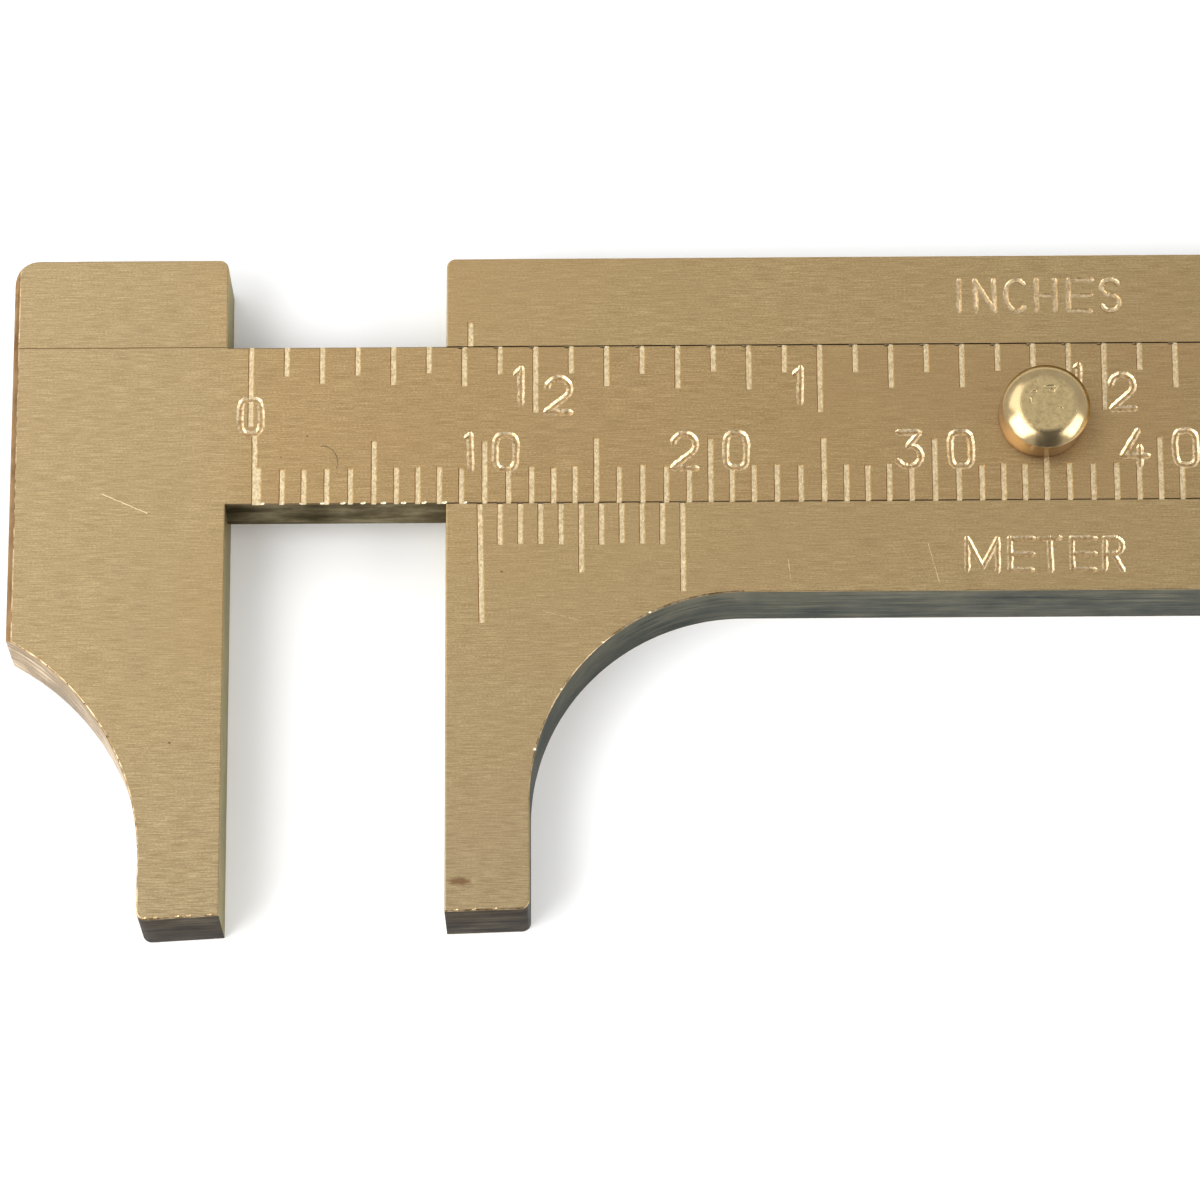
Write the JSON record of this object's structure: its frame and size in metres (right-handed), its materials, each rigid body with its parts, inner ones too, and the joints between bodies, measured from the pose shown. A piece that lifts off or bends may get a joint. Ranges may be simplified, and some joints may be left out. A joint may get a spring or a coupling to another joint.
{
  "type": "sliding gauge",
  "caption": "Flat brass sliding gauge with a fixed jaw, a dovetail slide that carries the other jaw and the scales, a vernier and a thumb knob.",
  "frame": {"origin": "on the back face of the body, under the vernier's zero line, on the slide's centre line", "axes": "+X along the slide towards its tail, +Y across the slide away from the jaw tips, +Z out of the graduated face"},
  "size_m": [0.1144, 0.0306, 0.0056],
  "materials": {
    "brushed_brass": "satin",
    "polished_brass": "polished",
    "spring_bronze": "satin"
  },
  "bodies": {
    "frame": {"body": "brushed_brass", "friction_spring": "spring_bronze", "stop_pin": "brushed_brass"},
    "slide": {"slide_bar": "brushed_brass", "sliding_jaw": "brushed_brass", "thumb_knob": "polished_brass"}
  },
  "joints": [
    {"name": "jaw_slide", "type": "slide", "parent": "frame", "child": "slide", "axis": [-1, 0, 0], "range_m": [-0.0098, 0.0702]}
  ]
}
